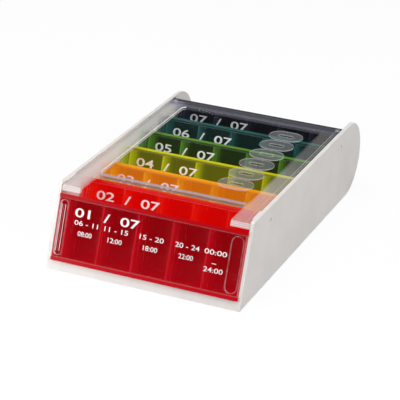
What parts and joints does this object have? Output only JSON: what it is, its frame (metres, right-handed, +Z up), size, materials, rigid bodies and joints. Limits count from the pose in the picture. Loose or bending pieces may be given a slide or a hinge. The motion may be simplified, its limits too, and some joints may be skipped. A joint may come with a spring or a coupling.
{
  "type": "weekly pill organizer",
  "caption": "Desktop pill organizer: leaning day boxes with clear sliding lids feed forward in a white case under a clear hinged cover.",
  "frame": {"origin": "on the table, under the middle of the case's overall box", "axes": "+X to the right seen from the front, +Y from the front lip to the round rear end, +Z up"},
  "size_m": [0.135, 0.2298, 0.0546],
  "materials": {
    "case_plastic": "white, semi-gloss moulded",
    "cover_plastic": "clear window in a lightly frosted border",
    "lid_plastic": "clear, polished, printed white",
    "tray_red": "translucent coloured, polished",
    "tray_scarlet": "translucent coloured, polished",
    "tray_orange": "translucent coloured, polished",
    "tray_lime": "translucent coloured, polished",
    "tray_green": "translucent coloured, polished",
    "tray_teal": "translucent coloured, polished",
    "tray_navy": "translucent coloured, polished"
  },
  "bodies": {
    "case": {"case": "case_plastic"},
    "cover": {"cover": "cover_plastic"},
    "day_box_1": {"day_tray_1": "tray_red"},
    "day_lid_1": {"day_lid_1": "lid_plastic"},
    "day_box_2": {"day_tray_2": "tray_scarlet", "day_lid_2": "lid_plastic"},
    "day_box_3": {"day_tray_3": "tray_orange", "day_lid_3": "lid_plastic"},
    "day_box_4": {"day_tray_4": "tray_lime", "day_lid_4": "lid_plastic"},
    "day_box_5": {"day_tray_5": "tray_green", "day_lid_5": "lid_plastic"},
    "day_box_6": {"day_tray_6": "tray_teal", "day_lid_6": "lid_plastic"},
    "day_box_7": {"day_tray_7": "tray_navy", "day_lid_7": "lid_plastic"}
  },
  "joints": [
    {"name": "cover_hinge", "type": "hinge", "parent": "case", "child": "cover", "pos_m": [0, 0.07787, 0.05243], "axis": [-1, 0, 0], "range_deg": [0, 110]},
    {"name": "day_box_1_pull", "type": "slide", "parent": "case", "child": "day_box_1", "axis": [0, -0.9478, 0.319], "range_m": [0, 0.06117]},
    {"name": "day_lid_1_slide", "type": "slide", "parent": "day_box_1", "child": "day_lid_1", "axis": [1, 0, 0], "range_m": [-0.098, 0.098]},
    {"name": "day_box_2_feed", "type": "slide", "parent": "case", "child": "day_box_2", "axis": [0, -0.9999, -0.014], "range_m": [0, 0.03059]},
    {"name": "day_box_3_feed", "type": "slide", "parent": "case", "child": "day_box_3", "axis": [0, -0.9999, -0.014], "range_m": [0, 0.03059]},
    {"name": "day_box_4_feed", "type": "slide", "parent": "case", "child": "day_box_4", "axis": [0, -0.9999, -0.014], "range_m": [0, 0.03059]},
    {"name": "day_box_5_feed", "type": "slide", "parent": "case", "child": "day_box_5", "axis": [0, -0.9999, -0.014], "range_m": [0, 0.03059]},
    {"name": "day_box_6_feed", "type": "slide", "parent": "case", "child": "day_box_6", "axis": [0, -0.9999, -0.014], "range_m": [0, 0.03059]},
    {"name": "day_box_7_feed", "type": "slide", "parent": "case", "child": "day_box_7", "axis": [0, -0.9999, -0.014], "range_m": [0, 0.03059]}
  ],
  "couplings": [
    {"joint": "day_box_2_feed", "follows": "day_box_1_pull", "ratio": 0.5},
    {"joint": "day_box_3_feed", "follows": "day_box_1_pull", "ratio": 0.5},
    {"joint": "day_box_4_feed", "follows": "day_box_1_pull", "ratio": 0.5},
    {"joint": "day_box_5_feed", "follows": "day_box_1_pull", "ratio": 0.5},
    {"joint": "day_box_6_feed", "follows": "day_box_1_pull", "ratio": 0.5},
    {"joint": "day_box_7_feed", "follows": "day_box_1_pull", "ratio": 0.5}
  ]
}
